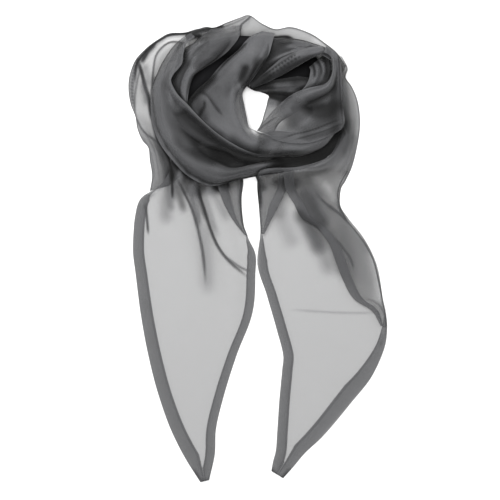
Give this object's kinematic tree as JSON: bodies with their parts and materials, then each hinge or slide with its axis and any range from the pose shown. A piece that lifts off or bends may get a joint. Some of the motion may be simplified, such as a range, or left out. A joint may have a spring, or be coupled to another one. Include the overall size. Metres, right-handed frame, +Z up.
{
  "type": "chiffon neck scarf",
  "caption": "Sheer grey chiffon neck scarf with pointed, hemmed ends, wound into a ring and laid flat with both tails hanging down.",
  "frame": {"origin": "middle of the scarf's outline, on the surface that it lies on", "axes": "+Z up from the surface; +Y from the tails to the wound ring; +X towards the right tail"},
  "size_m": [0.2588, 0.467, 0.0282],
  "materials": {
    "sheer_chiffon": "soft, slightly lustrous sheer weave",
    "layered_chiffon": "several plies of the same weave, nearly opaque",
    "hidden_chiffon": "shaded inner plies"
  },
  "bodies": {
    "root": {"loop_left": "sheer_chiffon", "top_back": "sheer_chiffon", "tail_left": "sheer_chiffon", "tail_left_turnover": "sheer_chiffon", "hidden_layers": "hidden_chiffon", "inner_back": "layered_chiffon", "inner_pleats": "layered_chiffon", "band_top": "layered_chiffon", "hem_roll": "layered_chiffon", "strand_centre": "layered_chiffon", "shoulder_left": "layered_chiffon", "band_front": "layered_chiffon", "tail_right": "sheer_chiffon", "tail_right_turnover_left": "sheer_chiffon", "tail_right_turnover_right": "sheer_chiffon", "panel_right": "layered_chiffon", "strand_bottom": "layered_chiffon"}
  },
  "joints": []
}
